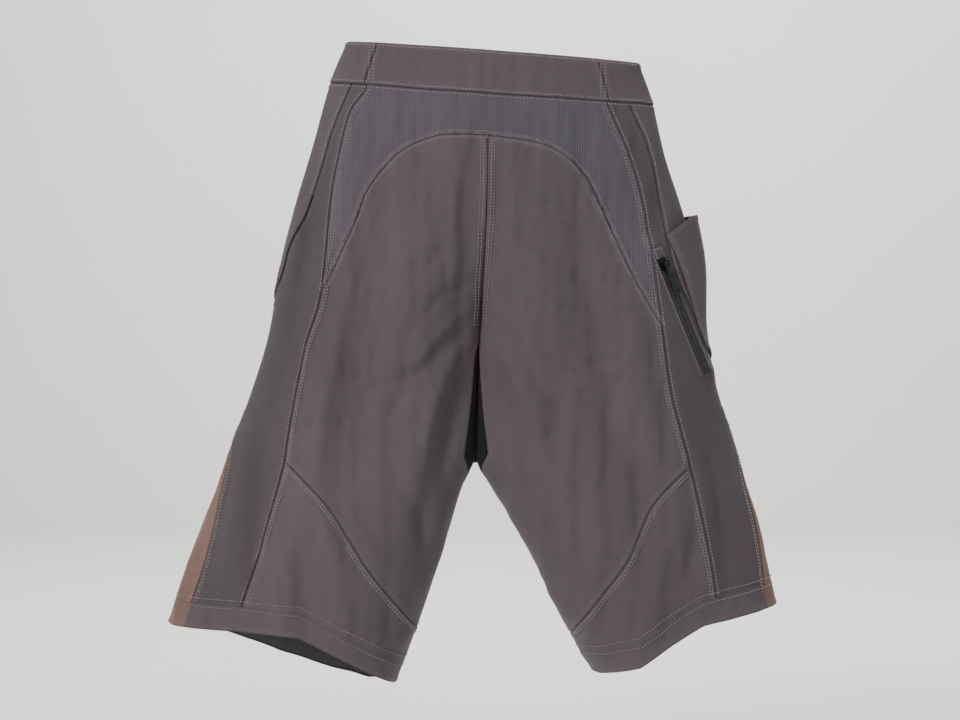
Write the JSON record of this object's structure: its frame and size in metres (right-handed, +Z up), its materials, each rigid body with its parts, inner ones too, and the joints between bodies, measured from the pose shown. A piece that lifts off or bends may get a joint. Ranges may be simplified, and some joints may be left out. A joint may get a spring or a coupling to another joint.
{
  "type": "padded impact shorts",
  "caption": "Knee-length riding shorts with a ribbed stretch yoke, curved seat seams, side inserts, a cargo pocket, zips, turned hems and foam pads inside.",
  "frame": {"origin": "middle of the waistband's top opening, midway between the two places where a hanger's clips hold it", "axes": "+Z up as hung, -Y towards the garment's back, +X towards the wearer's right"},
  "size_m": [0.6473, 0.1224, 0.684],
  "materials": {
    "main_cloth": "matt woven mauve-grey polyester",
    "side_cloth": "matt woven warm grey polyester",
    "rib_knit": "fine vertical rib knit, lavender grey",
    "tan_cloth": "matt woven brown",
    "black_cloth": "matt black stretch cloth",
    "foam": "closed-cell foam in black mesh cloth",
    "zip_tape": "woven tape with a coil",
    "black_metal": "black enamelled metal",
    "moulded_pull": "satin moulded rubber"
  },
  "bodies": {
    "body": {"cargo_pocket": "main_cloth", "cargo_snap": "black_metal", "crotch_gusset_left": "black_cloth", "crotch_gusset_right": "black_cloth", "fly_placket": "main_cloth", "fly_zip_bed": "main_cloth", "fly_zip_tape_left": "zip_tape", "fly_zip_tape_right": "zip_tape", "front_knee_panel_left": "main_cloth", "front_knee_panel_right": "main_cloth", "front_panel_left": "main_cloth", "front_panel_right": "main_cloth", "hand_pocket_bag": "black_cloth", "hand_pocket_welt": "main_cloth", "hem_left": "main_cloth", "hem_right": "main_cloth", "hip_pad_left": "foam", "hip_pad_right": "foam", "hip_panel_left": "side_cloth", "hip_panel_right": "side_cloth", "lower_back_panel_left": "main_cloth", "lower_back_panel_right": "main_cloth", "pocket_zip_bed": "main_cloth", "pocket_zip_garage": "main_cloth", "pocket_zip_tape_left": "zip_tape", "pocket_zip_tape_right": "zip_tape", "ribbed_yoke": "rib_knit", "seat_panel_left": "main_cloth", "seat_panel_right": "main_cloth", "side_insert_left": "tan_cloth", "side_insert_right": "tan_cloth", "side_panel_left": "side_cloth", "side_panel_right": "side_cloth", "tailbone_pad_left": "foam", "tailbone_pad_right": "foam", "thigh_pad_left": "foam", "thigh_pad_right": "foam", "waist_snap": "black_metal", "waist_tab": "main_cloth", "waistband_back": "main_cloth", "waistband_front_left": "main_cloth", "waistband_front_right": "main_cloth", "waistband_side_left": "main_cloth", "waistband_side_right": "main_cloth"},
    "pocket_zip_slider": {"pocket_zip_slider": "black_metal"},
    "pocket_zip_pull": {"pocket_zip_pull": "moulded_pull"},
    "fly_zip_slider": {"fly_zip_slider": "black_metal"},
    "fly_zip_pull": {"fly_zip_pull": "moulded_pull"}
  },
  "joints": [
    {"name": "pocket_zip_slide", "type": "slide", "parent": "body", "child": "pocket_zip_slider", "axis": [0.3816, 0.0869, -0.9202], "range_m": [0, 0.112]},
    {"name": "pocket_pull_swing", "type": "hinge", "parent": "pocket_zip_slider", "child": "pocket_zip_pull", "pos_m": [0.186, -0.04046, -0.22782], "axis": [-0.7999, -0.4678, -0.3759], "range_deg": [0, 150]},
    {"name": "fly_zip_slide", "type": "slide", "parent": "body", "child": "fly_zip_slider", "axis": [0, 0.0843, -0.9964], "range_m": [0, 0.095]},
    {"name": "fly_pull_swing", "type": "hinge", "parent": "fly_zip_slider", "child": "fly_zip_pull", "pos_m": [-0.00622, 0.03783, -0.06311], "axis": [0.9973, -0.0732, -0.0062], "range_deg": [0, 150]}
  ]
}
